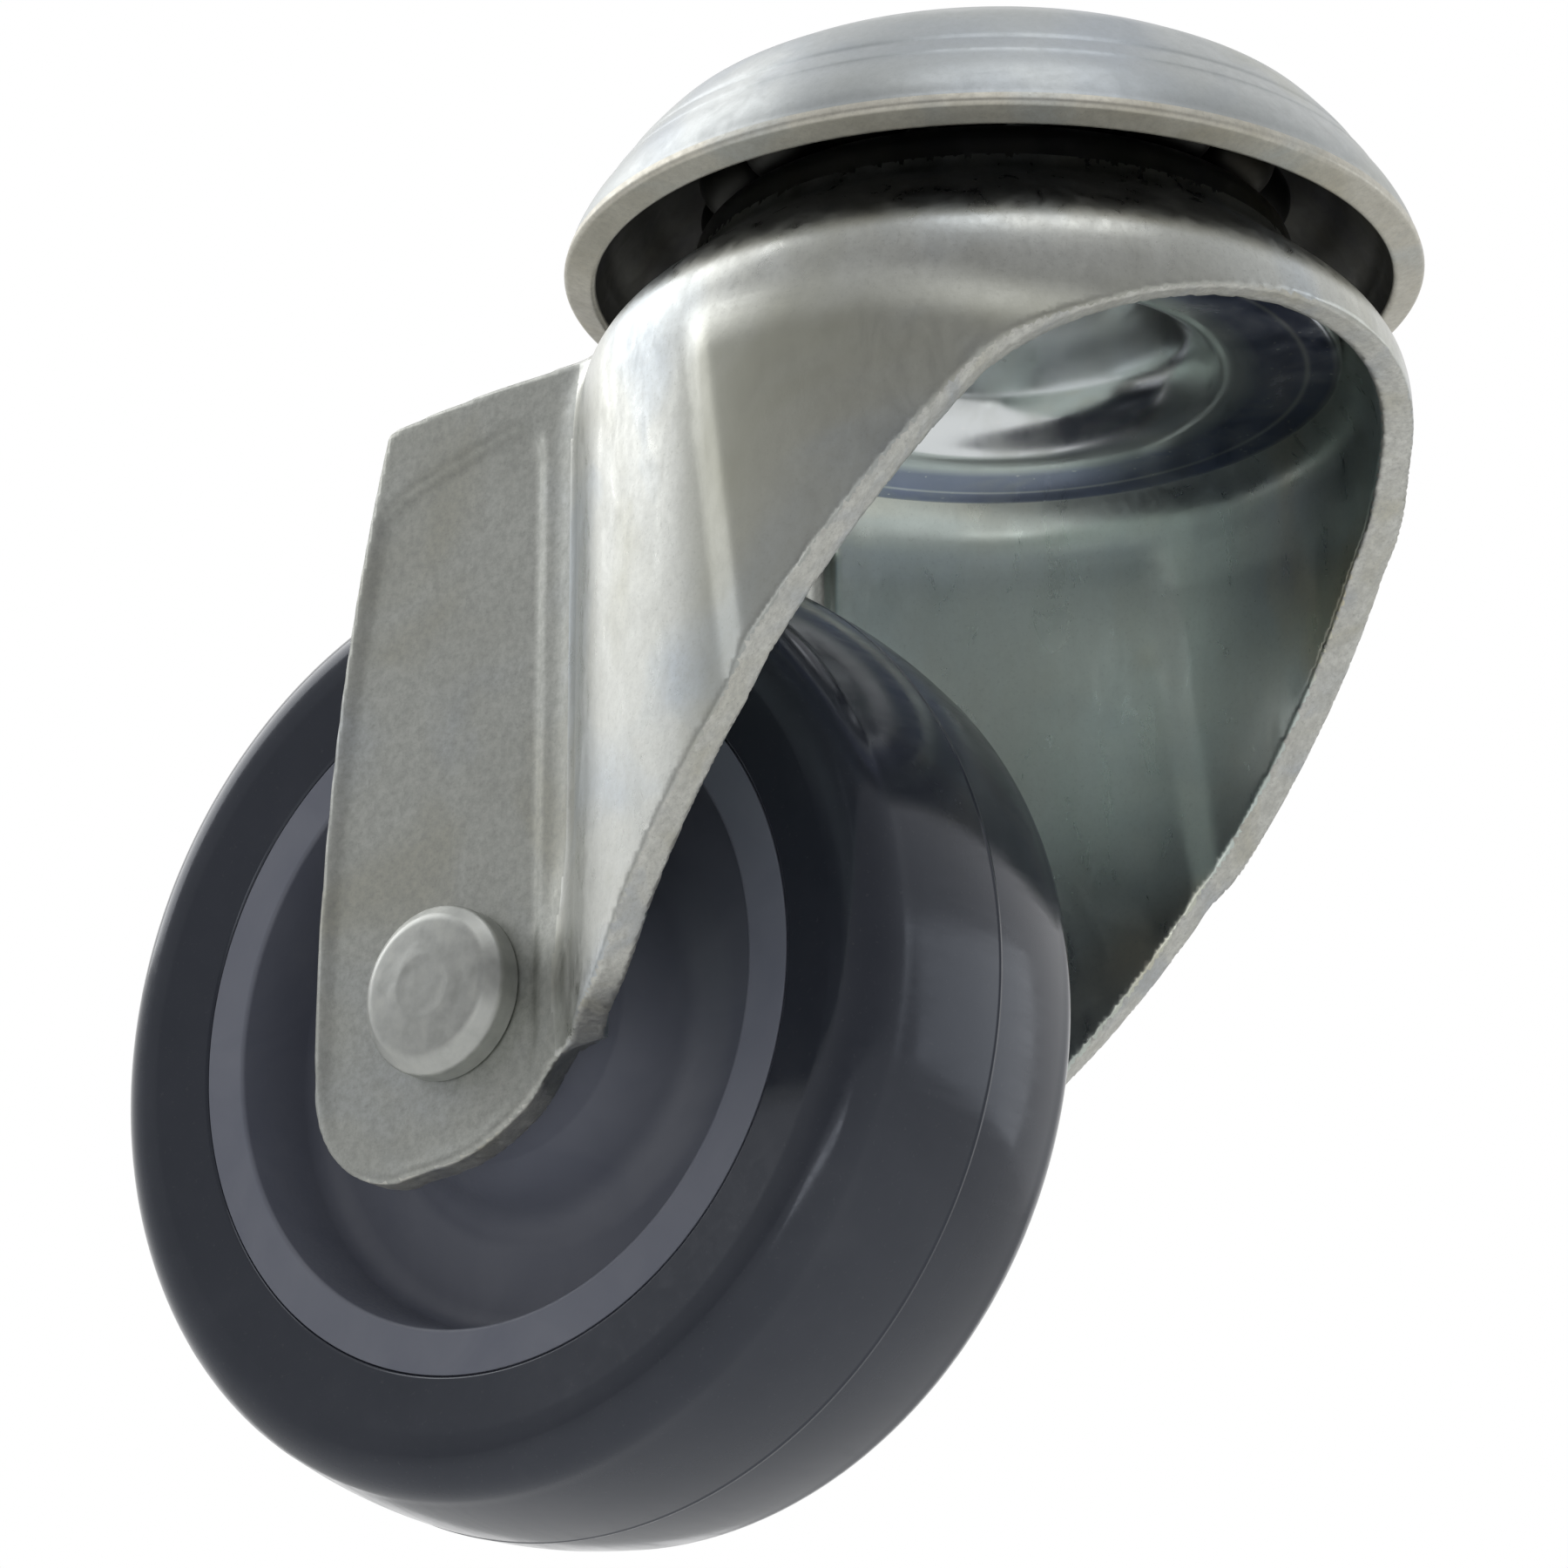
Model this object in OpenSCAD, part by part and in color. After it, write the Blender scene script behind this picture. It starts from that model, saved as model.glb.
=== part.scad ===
// Light-duty swivel castor with a bolt-hole head.
// Frame: origin at the centre of the bolt hole on the flat top face of the
// head, +Z up along the bolt hole, +X forward, the wheel trailing towards -X
// with its axle along Y. Millimetres.

/* [Wheel] */
// Outside diameter of the tyre at its centre line
wheel_d = 50; // [48:0.5:51]
// Width of the tyre across its side faces
tyre_w = 17.4; // [16:0.2:17.8]
// Radius of the crowned tread across its width
tread_crown_r = 30; // [24:1:60]
// Rounding between tread and side face
shoulder_r = 2.4; // [1.6:0.1:3]
// Outside diameter of the hub rim at the side faces
rim_d = 36.4; // [35:0.2:38]
// Width of the hub rim
rim_w = 16.2; // [15:0.2:16.2]
// Thickness of the hub rim at the side faces
rim_wall = 2.3; // [1.8:0.1:3]
// Thickness of the web between rim and boss
web_t = 5.5; // [4:0.5:7]
// Diameter of the boss where it leaves the web
boss_root_d = 20.4; // [17:0.2:22]
// Diameter of the boss at its ends
boss_end_d = 13; // [11:0.2:14]

/* [Axle] */
// Distance of the axle behind the swivel axis
trail = 25; // [24.5:0.5:26]
// Depth of the axle below the mounting face
axle_drop = 43.5; // [43:0.5:45]
// Diameter of the axle rivet shank
axle_d = 6; // [5:0.5:6]
// Diameter of the axle rivet heads
axle_head_d = 8.6; // [8:0.2:9.4]
// Height of the axle rivet heads
axle_head_h = 2.2; // [1.4:0.1:2.6]
// Wall of the tube the hub turns on
sleeve_wall = 1; // [0.8:0.1:1.2]

/* [Fork] */
// Sheet thickness of the fork
sheet = 1.6; // [1.4:0.1:1.7]
// Inside distance between the two legs
leg_gap = 18.8; // [18.6:0.1:19.2]
// Outside radius of the hood wall beside the legs
hood_r = 20.5; // [20.3:0.1:20.7]
// How far the front pad stands out from the hood wall
pad_step = 0.55; // [0.3:0.05:0.7]
// Position of the pad boundary along X
pad_x = -2.6; // [-4:0.2:0]
// Height of the pressed rim round each leg panel
panel_rim_h = 0.25; // [0.1:0.05:0.4]
// Width of the pressed rim round each leg panel
panel_rim_w = 1.3; // [1:0.1:1.8]
// Radius of the rounded lower back corner of each leg
foot_r = 5.3; // [5:0.1:5.6]

/* [Head] */
// Diameter of the cap at its lip
cap_d = 42.8; // [42.4:0.1:43.4]
// Height from the lip to the mounting face
cap_h = 9; // [8.8:0.1:9.2]
// Sheet thickness of the cap
cap_sheet = 1.5; // [1.4:0.1:1.6]
// Diameter of the bolt hole
bolt_hole_d = 10.5; // [8.5:0.5:10.5]
// Outside diameter of the hollow rivet
sleeve_d = 13; // [12.5:0.1:13]
// Diameter of the lower race cup
cup_d = 34.2; // [33.6:0.2:34.2]
// Sheet thickness of the lower race cup
cup_sheet = 1.2; // [1:0.1:1.2]

/* [Ball rows] */
// Diameter of the balls between cap and fork
upper_ball_d = 4.5; // [4.3:0.05:4.5]
// Number of balls in the upper row
upper_balls = 15; // [10:1:16]
// Diameter of the balls between fork and lower cup
lower_ball_d = 4; // [3.8:0.05:4]
// Number of balls in the lower row
lower_balls = 16; // [12:1:17]
// Clearance between a ball and its grooves
race_play = 0.04; // [0.02:0.01:0.06]

/* [Hidden] */
$fn = 96;

wheel_r = wheel_d / 2;
half_tyre = tyre_w / 2;
half_gap = leg_gap / 2;
leg_face = half_gap + sheet;
sleeve_r = axle_d / 2 + 0.05 + sleeve_wall;
pin_play = 0.05;
fit_gap = 0.03;

// Ball circles: radius and depth of the ball centres.
upper_row = [12.6, -3.93];
lower_row = [12, -10.35];

// Crown of the fork: depth of its hole edge and of the shoulder foot.
crown_hole_r = 10.4;
crown_top_z = -6.2;
shoulder_z = -15.2;

// Head: depth of the dish floor that carries the hollow rivet.
dish_z = -1.5;
dish_t = 1.6;
cup_top_z = dish_z - dish_t;
cup_floor_z = -13.5;

// Frame of the leg outline: foot corner centre and the leg top.
foot_c = [-trail - 3.2, -axle_drop - 3.6];
leg_top_z = -12;
leg_join_x = -15.9;

function two_digits(i) = i < 10 ? str("0", i) : str(i);
function ball_name(row, i) = str(row, "_ball_", two_digits(i));

// Points of a cubic curve from a to d, without its last point.
function curve(a, b, c, d, n = 8) =
    [for (i = [0 : n - 1]) let (t = i / n, s = 1 - t)
        s * s * s * a + 3 * s * s * t * b + 3 * s * t * t * c + t * t * t * d];

// Points of an arc round centre c from angle a0 to a1.
function arc(c, r, a0, a1, n = 8) =
    [for (i = [0 : n]) let (a = a0 + (a1 - a0) * i / n)
        c + r * [cos(a), sin(a)]];

// The same points seen from the other side of the centre plane.
function mirrored(pts) =
    [for (i = [len(pts) - 1 : -1 : 0]) [pts[i][0], -pts[i][1]]];

// Lower front edge of the fork, from the front lip down to the foot.
function front_edge() = concat(
    curve([20.9, -15.2], [17.5, -16.6], [14.2, -18.4], [11.2, -21.1]),
    curve([11.2, -21.1], [6, -27.4], [-1.5, -36.2], [-8.9, -44.1]),
    curve([-8.9, -44.1], [-10.2, -45.6], [-11.2, -46.7], [-13.2, -47.1], 6),
    curve([-13.2, -47.1], [-15.2, -47.5], [-17, -47.4], [-18.6, -48.5], 5),
    curve([-18.6, -48.5], [-20.8, -50.1], [-22.8, -52], [-26, -52.1], 6),
    curve([-26, -52.1], [-26.8, -52.15], [-27.5, -52.3],
          foot_c - [0, foot_r], 3));

// Back of a leg, from the foot corner up to the top back corner, inset by d.
function back_edge(d = 0) = concat(
    arc(foot_c, foot_r - d, -90, -180),
    curve(foot_c - [foot_r - d, 0], [-33.7 + d, -36], [-32.4 + d, -24],
          [-29.7 + d, -13.6]));

// Side outline of the whole fork, X across and Z up.
module side_outline() {
    polygon(concat(
        front_edge(),
        back_edge(),
        curve([-29.7, -13.6], [-29.6, -13.1], [-29.4, -12.9], [-28.9, -12.85], 4),
        curve([-28.9, -12.85], [-25, -12.3], [-21, -12.1],
              [leg_join_x + 0.3, leg_top_z], 6),
        [[leg_join_x + 0.3, leg_top_z], [leg_join_x + 0.3, -5], [22, -5],
         [22, -15.2]]));
}

// Outline of the flat panel inside the pressed rim of a leg.
module panel_outline() {
    panel_x = -19.3;
    panel_top = -15;
    w = panel_rim_w;
    polygon(concat(
        curve([panel_x, -46.2], [-20.4, -50.2], [-24, -50.9],
              foot_c - [0, foot_r - w]),
        arc(foot_c, foot_r - w, -90, -180),
        curve(foot_c - [foot_r - w, 0], [-33.7 + w, -36], [-32.4 + w, -25.5],
              [-30.4 + w, -16.5]),
        curve([-30.4 + w, -16.5], [-30.1 + w, panel_top], [-26, panel_top + 0.3],
              [panel_x - 2, panel_top + 0.6]),
        curve([panel_x - 2, panel_top + 0.6], [panel_x - 0.6, panel_top + 0.6],
              [panel_x, panel_top], [panel_x, panel_top - 2], 5)));
}

// Turns an outline drawn in X and Z into a slab from y0 to y1.
module slab(y0, y1) {
    translate([0, y1, 0])
        rotate([90, 0, 0])
            linear_extrude(y1 - y0) children();
}

module both_sides() {
    children();
    mirror([0, 1, 0]) children();
}

// Groove left by a row of balls, as a ring section.
module groove(row, ball_d) {
    translate(row) circle(d = ball_d + 2 * race_play);
}

// Crown and shoulder of the fork, with the grooves of both ball rows.
module crown_section() {
    difference() {
        polygon([
            [crown_hole_r, crown_top_z], [13.9, crown_top_z], [14.5, -6.5],
            [14.8, -7.1], [14.95, -8], [15.3, -9], [16.45, -10], [17.75, -11], [18.9, -12], [19.65, -13],
            [20.2, -14], [hood_r, shoulder_z], [hood_r, shoulder_z - 2.4],
            [hood_r - sheet, shoulder_z - 2.4],
            [hood_r - sheet, shoulder_z - 0.5], [18.75, -14.7],
            [18.35, -13.9], [17.7, -13.05], [16.7, -12.2], [15.65, -11.4],
            [14.7, -10.75], [14.1, -10.2], [13.6, -9.4], [13.35, -8.6],
            [13.1, -8.1], [12.5, crown_top_z - sheet],
            [crown_hole_r, crown_top_z - sheet]]);
        groove(upper_row, upper_ball_d);
        groove(lower_row, lower_ball_d);
    }
}

// Ring wall from radius r inwards by one sheet, from z0 up to z1.
module wall(r, z0, z1) {
    rotate_extrude()
        translate([r - sheet, z0]) square([sheet, z1 - z0]);
}

// Hood wall: the rear part on its own radius and the front pad standing out.
module hood() {
    lap = 0.8;
    intersection() {
        slab(-22, 22) side_outline();
        union() {
            intersection() {
                wall(hood_r, -54, shoulder_z - 1.5);
                translate([-22, -22, -56]) cube([22 + pad_x + lap, 44, 50]);
            }
            intersection() {
                wall(hood_r + pad_step, -54, shoulder_z - 1);
                translate([pad_x, -22, -56]) cube([24, 44, 50]);
            }
        }
    }
}

module fork() {
    color("silver")
    difference() {
        union() {
            intersection() {
                rotate_extrude() crown_section();
                union() {
                    slab(-22, 22) side_outline();
                    translate([-22, -22, shoulder_z - 0.8]) cube([30, 44, 12]);
                }
            }
            difference() {
                hood();
                translate([-40, -half_gap, -60])
                    cube([40 + leg_join_x + 3.3, leg_gap, 60 + shoulder_z - 0.8]);
            }
            both_sides() {
                slab(half_gap, leg_face) intersection() {
                    side_outline();
                    translate([-36, -56]) square([36 + leg_join_x, 50]);
                }
                slab(leg_face - 0.4, leg_face + panel_rim_h) difference() {
                    intersection() {
                        side_outline();
                        translate([-36, -56]) square([36 - 17.4, 50]);
                    }
                    panel_outline();
                }
            }
        }
        translate([-trail, 15, -axle_drop])
            rotate([90, 0, 0]) cylinder(d = axle_d + 2 * pin_play, h = 30);
    }
}

// Cap: one pressed shell with a rounded lip and a dished centre.
module top_cap() {
    lip_r = cap_d / 2;
    t = cap_sheet;
    color("lightgray")
    rotate_extrude() difference() {
        polygon([
            [sleeve_d / 2, dish_z], [8.9, dish_z], [9.3, -1.3], [9.9, -0.4],
            [10.6, 0], [13.6, 0], [14.85, -0.45], [15.85, -0.98],
            [16.7, -1.5], [17.25, -2], [18.15, -3], [18.85, -4],
            [18.95, -4.25], [19.65, -5], [20.35, -6], [20.9, -7],
            [lip_r - 0.15, 0.9 - cap_h], [lip_r, 0.5 - cap_h],
            [lip_r - 0.1, 0.25 - cap_h], [lip_r - 0.4, 0.1 - cap_h],
            [lip_r - 0.1 - t, -cap_h], [lip_r - 0.15 - t, 0.7 - cap_h],
            [19.5, -7.7], [19.05, -6.8], [18.4, -5.9], [17.7, -4.95],
            [17, -3.95], [16.2, -3.1], [15.4, -2.4], [14.6, -1.9],
            [13.6, -1.6], [11.2, -1.6], [10.6, -1.9], [9.9, -2.6],
            [8.7, cup_top_z], [sleeve_d / 2, cup_top_z]]);
        groove(upper_row, upper_ball_d);
    }
}

// Hollow rivet: flared sleeve the mounting bolt passes through.
module king_rivet() {
    bore_r = bolt_hole_d / 2;
    body_r = sleeve_d / 2 - fit_gap;
    clinch_z = cup_top_z - cup_sheet;
    color("gainsboro")
    rotate_extrude() polygon([
        [bore_r, 0], [8, 0], [8.4, -0.2], [8.6, -0.6], [8.6, dish_z],
        [body_r, dish_z], [body_r, clinch_z], [7.6, clinch_z],
        [7.8, clinch_z - 0.4], [7.5, clinch_z - 0.9], [6.8, clinch_z - 1.2],
        [bore_r + 0.4, clinch_z - 1.3], [bore_r, clinch_z - 1.1]]);
}

// Lower race: pressed cup whose raised centre is clinched under the cap.
module lower_race_cup() {
    rim_r = cup_d / 2;
    floor_z = cup_floor_z;
    ring_z = floor_z + cup_sheet;
    top_z = cup_top_z;
    color("lightsteelblue")
    rotate_extrude() difference() {
        polygon([
            [sleeve_d / 2, top_z], [8, top_z], [8.7, top_z - 0.3],
            [9.2, top_z - 1], [9.4, -5.5], [9.7, -8], [9.85, -9.8],
            [10, -11], [10.4, -11.8], [11.2, ring_z], [rim_r - 1.2, ring_z],
            [rim_r - 0.5, ring_z - 0.3], [rim_r, ring_z - 0.8],
            [rim_r, floor_z + 0.15], [rim_r - 0.2, floor_z],
            [11.6, floor_z], [10.4, floor_z + 0.3], [9.4, floor_z + 1.1],
            [8.85, -11.2], [8.65, -9.8], [8.5, -8], [8.2, -5.5],
            [8.05, top_z - cup_sheet - 0.3], [7.7, top_z - cup_sheet],
            [sleeve_d / 2, top_z - cup_sheet]]);
        groove(lower_row, lower_ball_d);
    }
}

// One ball of a row, the first ball standing ahead of the swivel axis.
module row_ball(row, ball_d, i, count) {
    rotate([0, 0, 360 / count * (i - 0.5)])
        translate([row[0], 0, row[1]])
            sphere(d = ball_d);
}

// Moves a shape turned round Z so that it turns round the axle.
module on_axle() {
    translate([-trail, 0, -axle_drop]) rotate([90, 0, 0]) children();
}

// Solid axle rivet with a low domed head on both ends.
module axle_rivet() {
    head_r = axle_head_d / 2;
    pin_r = axle_d / 2;
    face = leg_face;
    top = face + axle_head_h;
    half = concat(
        [[pin_r, face], [head_r - 0.1, face], [head_r, face + 0.2],
         [head_r, top - 1.1], [head_r - 0.2, top - 0.7]],
        [[head_r - 0.6, top - 0.35], [head_r - 1.3, top - 0.12],
         [head_r - 2.4, top], [0, top]]);
    color("silver")
    on_axle() rotate_extrude()
        polygon(concat(mirrored(half), half));
}

// Tube clamped between the legs, the bearing surface of the hub.
module axle_sleeve() {
    color("gainsboro")
    on_axle() rotate_extrude()
        translate([axle_d / 2 + pin_play, -half_gap])
            square([sleeve_wall, leg_gap]);
}

// Keyed joint between hub and tyre, from the far side face to the near one.
function bond_line(gap = 0) =
    let (r = rim_d / 2 - gap, h = rim_w / 2,
         half = [[r + 1.3, 2.2], [r + 1.1, 3], [r - 0.1, 4.2], [r - 0.1, 6.6],
                 [r, 7.2], [r, h]])
    concat(mirrored(half), half);

// Hub: rim, thin web and boss in one moulding, bored to turn on the tube.
module hub() {
    rim_r = rim_d / 2;
    h = rim_w / 2;
    end_y = half_gap - 0.2;
    bore_r = sleeve_r + pin_play;
    web_y = web_t / 2;
    root_r = boss_root_d / 2;
    end_r = boss_end_d / 2;
    floor_r = rim_r - rim_wall - 0.6;
    side = concat(
        [[rim_r - rim_wall + 0.2, h], [rim_r - rim_wall, h - 0.2]],
        curve([floor_r + 0.15, web_y + 1.3], [floor_r, web_y + 0.4],
              [floor_r - 0.5, web_y], [floor_r - 1.4, web_y], 5),
        curve([root_r + 0.9, web_y], [root_r - 0.1, web_y + 0.1],
              [root_r - 0.5, web_y + 0.7], [root_r - 1, web_y + 1.8], 5),
        [[end_r + 1, end_y - 1.8]],
        arc([end_r - 0.7, end_y - 0.7], 0.7, 0, 90, 4),
        [[bore_r + 0.4, end_y], [bore_r, end_y - 0.4]]);
    color("dimgray")
    on_axle() rotate_extrude()
        polygon(concat(bond_line(fit_gap), side, mirrored(side)));
}

// Tyre: crowned tread, round shoulders and side faces falling to the rim.
module tyre() {
    crown_c = [wheel_r - tread_crown_r, 0];
    s = shoulder_r;
    // The shoulder arc touches the crowned tread and the side face.
    dy = half_tyre - s;
    dx = sqrt(pow(tread_crown_r - s, 2) - dy * dy);
    shoulder_c = [crown_c[0] + dx, dy];
    turn = asin(dy / (tread_crown_r - s));
    bond = bond_line();
    side = concat(
        [for (i = [1 : 5]) crown_c + tread_crown_r
            * [cos(turn * i / 6), sin(turn * i / 6)]],
        arc(shoulder_c, s, turn, 90, 7),
        [[rim_d / 2 + 0.5, rim_w / 2 + 0.15]]);
    color([0.25, 0.26, 0.28])
    on_axle() rotate_extrude()
        polygon(concat(
            [for (i = [len(bond) - 1 : -1 : 0]) bond[i]],
            mirrored(side), [[wheel_r, 0]], side));
}

top_cap();
king_rivet();
lower_race_cup();
fork();
axle_rivet();
axle_sleeve();
hub();
tyre();
for (i = [1 : upper_balls])
    row_ball(upper_row, upper_ball_d, i, upper_balls);
for (i = [1 : lower_balls])
    row_ball(lower_row, lower_ball_d, i, lower_balls);
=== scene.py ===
import math

import bmesh
import bpy
import numpy as np
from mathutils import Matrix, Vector


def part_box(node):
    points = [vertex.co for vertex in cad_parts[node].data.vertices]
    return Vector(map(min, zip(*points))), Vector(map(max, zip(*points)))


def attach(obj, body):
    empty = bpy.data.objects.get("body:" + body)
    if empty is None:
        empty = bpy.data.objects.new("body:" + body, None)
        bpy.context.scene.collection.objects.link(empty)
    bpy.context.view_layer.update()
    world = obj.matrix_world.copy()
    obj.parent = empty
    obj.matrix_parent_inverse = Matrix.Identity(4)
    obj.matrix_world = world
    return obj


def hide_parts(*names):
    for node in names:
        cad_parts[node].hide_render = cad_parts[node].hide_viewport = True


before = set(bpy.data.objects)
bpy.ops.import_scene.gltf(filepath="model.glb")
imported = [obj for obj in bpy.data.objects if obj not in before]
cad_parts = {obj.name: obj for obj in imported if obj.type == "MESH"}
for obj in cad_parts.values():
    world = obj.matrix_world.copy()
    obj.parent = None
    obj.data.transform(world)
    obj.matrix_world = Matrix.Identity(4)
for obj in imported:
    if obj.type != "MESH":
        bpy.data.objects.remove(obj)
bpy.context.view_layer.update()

MM = 0.001

# ---------------------------------------------------------------- sizes, mm
wheel_low, wheel_high = (np.array(c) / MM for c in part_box("tyre"))
cap_low, cap_high = (np.array(c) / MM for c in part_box("top_cap"))
hub_high = np.array(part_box("hub")[1]) / MM
cup_low, cup_high = (np.array(c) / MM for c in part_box("lower_race_cup"))
rivet_low, rivet_high = (np.array(c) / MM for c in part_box("axle_rivet"))
king_low = np.array(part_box("king_rivet")[0]) / MM

AXLE = (wheel_low + wheel_high) / 2
WHEEL_R = (wheel_high[2] - wheel_low[2]) / 2
TYRE_HALF = wheel_high[1]
HUB_HALF = hub_high[1]
CAP_R = cap_high[0]
CAP_H = -cap_low[2]
CUP_R = cup_high[0]
CUP_Z = cup_low[2]
HEAD_R = (rivet_high[0] - rivet_low[0]) / 2
HEAD_TOP = rivet_high[1]

# Fork
SHEET = 1.6
HOOD_R = 20.5          # hood wall, outside
LEG_IN = 9.4           # inner face of a leg
LEG_OUT = LEG_IN + SHEET
LEG_FRONT_X = -17.2    # where a leg runs into the hood wall
WALL_BACK_X = -17.9    # where the hood wall ends behind
CROWN_HOLE_R = 10.4
CROWN_Z = -6.2
SHOULDER_Z = -15.2
FOOT = np.array([AXLE[0] - 3.2, AXLE[2] - 3.6])
FOOT_R = 5.3
PAD_H = 0.62           # how far the front pad stands out
PAD_X = -3.6           # back edge of the pad at the shoulder
PAD_LEAN = 0.15        # how the pad's back edge leans forward going down
LIP_X = 21.8           # the pad runs out before the front lip
RIM_H = 0.24           # pressed rim round the leg panels
PANEL_INSET = 0.85     # from the leg's edge to the sunk panel
TOP_ZONE_Z = -20       # the outline cuts shell and leg on their own above
                       # this, and the joined steel below it
NO_CUT = -5            # distance that cuts nothing

# Head
CAP_SHEET = 1.5
CAP_UNDER_Z = -3.1     # underside of the cap's dished centre
DISH_Z = -1.5
CUP_SHEET = 1.2
BORE_R = 5.25          # bolt hole
SLEEVE_R = 6.5         # body of the hollow rivet
FLANGE_R = 8.55        # its flared top
WEAR_R = 15.4          # wear circle under the race cup

# Wheel and axle
RIM_R = 18.2           # hub rim, outside
RIM_HALF = 8.1
RIM_WALL = 2.3
WEB_HALF = 2.75
HUB_BORE_R = 4.05
PIN_R = 2.98
TREAD_CROWN_R = 30.0
TYRE_SHOULDER_R = 2.4
SEAM_H = 0.035         # parting line on the tread

SEGMENTS = 256


# ---------------------------------------------------------------- curves
def smooth_path(points, per=6):
    """Catmull-Rom curve through the points."""
    p = np.array(points, float)
    p = np.vstack([2 * p[0] - p[1], p, 2 * p[-1] - p[-2]])
    out = []
    for i in range(1, len(p) - 2):
        for t in np.arange(per) / per:
            a, b, c, d = p[i - 1], p[i], p[i + 1], p[i + 2]
            out.append(0.5 * (2 * b + (c - a) * t
                              + (2 * a - 5 * b + 4 * c - d) * t ** 2
                              + (3 * b - a - 3 * c + d) * t ** 3))
    out.append(p[-2])
    return np.array(out)


def cubic(a, b, c, d, n=16):
    """Points of a cubic curve, without its last point."""
    t = (np.arange(n) / n)[:, None]
    s = 1 - t
    a, b, c, d = (np.array(q, float) for q in (a, b, c, d))
    return s ** 3 * a + 3 * s * s * t * b + 3 * s * t * t * c + t ** 3 * d


def arc(centre, radius, start, end, n=16):
    """Points of an arc, angles in degrees."""
    a = np.radians(np.linspace(start, end, n + 1))
    return np.array(centre) + radius * np.stack([np.cos(a), np.sin(a)], 1)


def filleted(corners, closed=True, n=6):
    """Corner points (u, v, radius) joined by lines, each corner rounded."""
    pts = [np.array(c[:2], float) for c in corners]
    out = []
    count = len(pts)
    for i, corner in enumerate(corners):
        radius = corner[2] if len(corner) > 2 else 0
        if not closed and i in (0, count - 1):
            out.append(pts[i])
            continue
        prev, here, after = pts[i - 1], pts[i], pts[(i + 1) % count]
        a, b = prev - here, after - here
        la, lb = np.linalg.norm(a), np.linalg.norm(b)
        a, b = a / la, b / lb
        cos = np.clip(a @ b, -1, 1)
        half = math.acos(cos) / 2
        if radius <= 0 or half > math.radians(89):
            out.append(here)
            continue
        reach = min(radius / math.tan(half), 0.45 * la, 0.45 * lb)
        radius = reach * math.tan(half)
        mid = (a + b) / np.linalg.norm(a + b)
        centre = here + mid * radius / math.sin(half)
        p0, p1 = here + a * reach, here + b * reach
        a0 = math.atan2(*(p0 - centre)[::-1])
        a1 = math.atan2(*(p1 - centre)[::-1])
        turn = (a1 - a0 + math.pi) % (2 * math.pi) - math.pi
        out.append(p0 + a * min(0.06, 0.1 * la))
        for t in np.linspace(0, 1, n + 1):
            out.append(centre + radius * np.array(
                [math.cos(a0 + turn * t), math.sin(a0 + turn * t)]))
        out.append(p1 + b * min(0.06, 0.1 * lb))
    return np.array(out)


# ---------------------------------------------------------------- meshes
def add_mesh(name, verts, faces):
    """Smooth mesh object from points in mm."""
    if isinstance(faces, np.ndarray):
        faces = faces.tolist()
    mesh = bpy.data.meshes.new(name)
    mesh.from_pydata((np.asarray(verts) * MM).tolist(), [], faces)
    mesh.validate()
    mesh.update()
    mesh.polygons.foreach_set("use_smooth", [True] * len(mesh.polygons))
    obj = bpy.data.objects.new(name, mesh)
    bpy.context.scene.collection.objects.link(obj)
    return obj


def lathe(name, profile, about="Z", centre=(0, 0, 0), segments=SEGMENTS):
    """Turns a closed profile (radius, height) round an axis."""
    prof = np.asarray(profile, float)
    area = 0.5 * np.sum(prof[:, 0] * np.roll(prof[:, 1], -1)
                        - np.roll(prof[:, 0], -1) * prof[:, 1])
    if area < 0:
        prof = prof[::-1]
    ang = np.arange(segments) / segments * 2 * math.pi
    rr, hh = prof[:, 0], prof[:, 1]
    r = np.repeat(rr[None, :], segments, 0)
    h = np.repeat(hh[None, :], segments, 0)
    c, s = np.cos(ang)[:, None], np.sin(ang)[:, None]
    if about == "Z":
        v = np.stack([r * c, r * s, h], -1)
    else:
        v = np.stack([r * c, h, -r * s], -1)
    v = v.reshape(-1, 3) + np.asarray(centre, float)
    m = len(prof)
    i = np.arange(segments)[:, None]
    j = np.arange(m)[None, :]
    a = i * m + j
    b = ((i + 1) % segments) * m + j
    d = i * m + (j + 1) % m
    e = ((i + 1) % segments) * m + (j + 1) % m
    faces = np.stack([a, b, e, d], -1).reshape(-1, 4)
    # Points on the axis are shared by the whole ring.
    on_axis = [k for k, radius in enumerate(rr) if radius < 1e-6]
    if on_axis:
        for k in on_axis:
            faces[faces % m == k] = k
        rings = [list(dict.fromkeys(q)) for q in faces.tolist()]
        faces = [q for q in rings if len(q) >= 3]
    obj = add_mesh(name, v, faces)
    drop_loose(obj.data)
    return obj


def drop_loose(mesh):
    """Removes vertices that belong to no face."""
    bm = bmesh.new()
    bm.from_mesh(mesh)
    bmesh.ops.delete(bm, geom=[v for v in bm.verts if not v.link_faces],
                     context="VERTS")
    bm.to_mesh(mesh)
    bm.free()
    mesh.polygons.foreach_set("use_smooth", [True] * len(mesh.polygons))


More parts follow.
